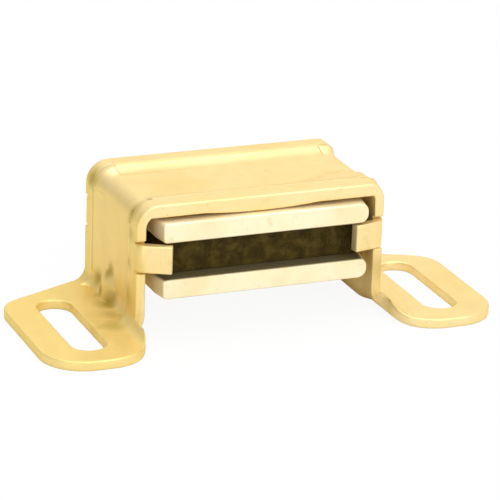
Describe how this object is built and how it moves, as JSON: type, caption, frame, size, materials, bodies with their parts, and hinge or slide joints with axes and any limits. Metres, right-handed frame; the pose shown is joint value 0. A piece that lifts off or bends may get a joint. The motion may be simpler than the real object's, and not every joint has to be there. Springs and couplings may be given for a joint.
{
  "type": "magnetic catch",
  "caption": "Magnetic cabinet catch: pressed brass-coloured strap case with two slotted feet, holding a floating ceramic magnet between two steel pole plates.",
  "frame": {"origin": "on the surface that the feet are screwed to, midway between the feet and midway across the strap", "axes": "+Z away from the mounting surface, X from foot to foot, pole plates facing -Y towards the door"},
  "size_m": [0.058, 0.028, 0.0165],
  "materials": {
    "case_metal": "satin brass-coloured plating, faint rolling lines",
    "pole_steel": "pale satin plating over punched steel",
    "magnet_ceramic": "matt, slightly mottled ferrite"
  },
  "bodies": {
    "case": {"case": "case_metal"},
    "pack": {"upper_pole_plate": "pole_steel", "lower_pole_plate": "pole_steel", "magnet": "magnet_ceramic"}
  },
  "joints": [
    {"name": "pack_float", "type": "slide", "parent": "case", "child": "pack", "axis": [0, -1, 0], "range_m": [-0.0005, 0.0005]}
  ]
}
